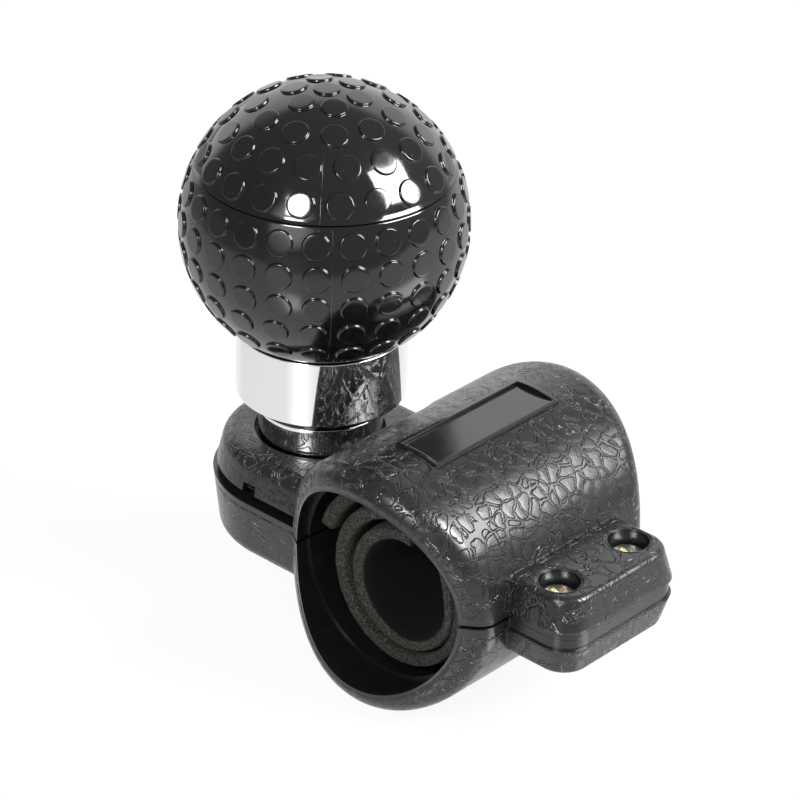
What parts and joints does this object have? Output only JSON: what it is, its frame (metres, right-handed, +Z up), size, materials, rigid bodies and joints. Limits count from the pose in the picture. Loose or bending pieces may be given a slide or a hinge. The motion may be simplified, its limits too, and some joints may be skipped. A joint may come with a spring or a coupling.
{
  "type": "steering wheel spinner knob",
  "caption": "Ball-shaped spinner knob that turns on a spindle beside a split clamp lined with rolled foam for a steering wheel rim.",
  "frame": {"origin": "centre of the rim hole through the foam roll, half way along the clamp's barrel", "axes": "+Y along the rim hole, +Z up along the knob's spindle, +X from the spindle across the hole to the clamp screws"},
  "size_m": [0.0956, 0.056, 0.0951],
  "materials": {
    "clamp_plastic": "satin, leather grain",
    "ball_plastic": "gloss",
    "neck_plastic": "gloss",
    "chrome": "polished",
    "zinc_steel": "zinc plated",
    "foam": "closed-cell foam",
    "nylon": "satin"
  },
  "bodies": {
    "clamp": {"clamp_upper_half": "clamp_plastic", "clamp_lower_half": "clamp_plastic", "foam_liner": "foam", "pivot_neck": "neck_plastic", "spindle_bolt": "zinc_steel", "bolt_washer": "zinc_steel", "bearing_sleeve": "zinc_steel", "thrust_washer": "zinc_steel", "top_washer": "zinc_steel", "spindle_nut": "zinc_steel", "clamp_screw_front": "zinc_steel", "clamp_screw_rear": "zinc_steel", "clamp_nut_front": "zinc_steel", "clamp_nut_rear": "zinc_steel"},
    "knob": {"knob_lower_shell": "ball_plastic", "knob_cap": "ball_plastic", "chrome_collar": "chrome", "lower_bush": "nylon", "upper_bush": "nylon"}
  },
  "joints": [
    {"name": "knob_spin", "type": "hinge", "parent": "clamp", "child": "knob", "pos_m": [-0.0393, 0, 0.0475], "axis": [0, 0, 1], "continuous": true}
  ]
}
